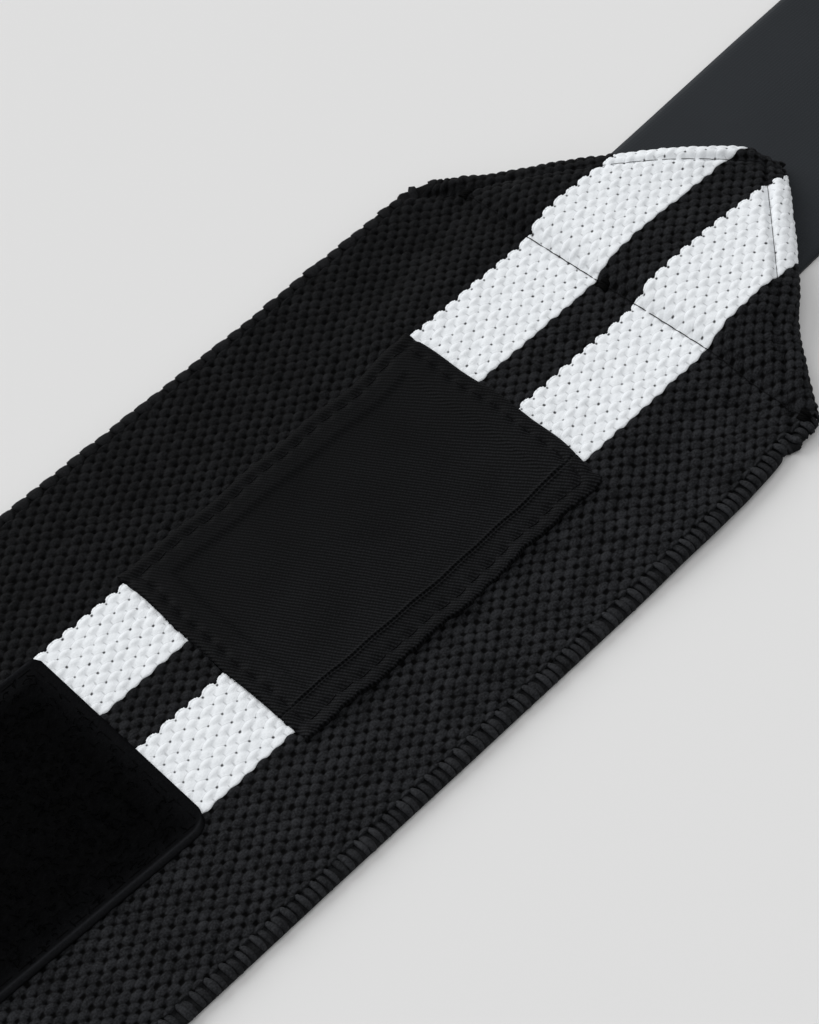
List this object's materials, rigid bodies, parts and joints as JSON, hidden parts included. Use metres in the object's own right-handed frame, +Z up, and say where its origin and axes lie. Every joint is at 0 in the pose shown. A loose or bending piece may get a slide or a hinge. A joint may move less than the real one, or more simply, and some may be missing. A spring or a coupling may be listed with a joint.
{
  "type": "wrist strap",
  "caption": "Striped elastic wrist strap laid flat, with a folded point, a hook tab, a fuzzy loop patch and a plain woven label.",
  "frame": {"origin": "on the supporting surface, under the middle of the strap's length and width", "axes": "+X along the band towards the free end of the hook tab, +Y across the band, +Z up from the supporting surface through the face"},
  "size_m": [0.457, 0.077, 0.0069],
  "materials": {
    "elastic_black": "matte",
    "elastic_white": "matte",
    "hook_tape": "satin",
    "loop_pile": "matte",
    "label_satin": "satin",
    "sewing_thread": "satin"
  },
  "bodies": {
    "root": {"elastic_band": "elastic_black", "hook_tab": "hook_tape", "loop_patch": "loop_pile", "woven_label": "label_satin"}
  },
  "joints": []
}
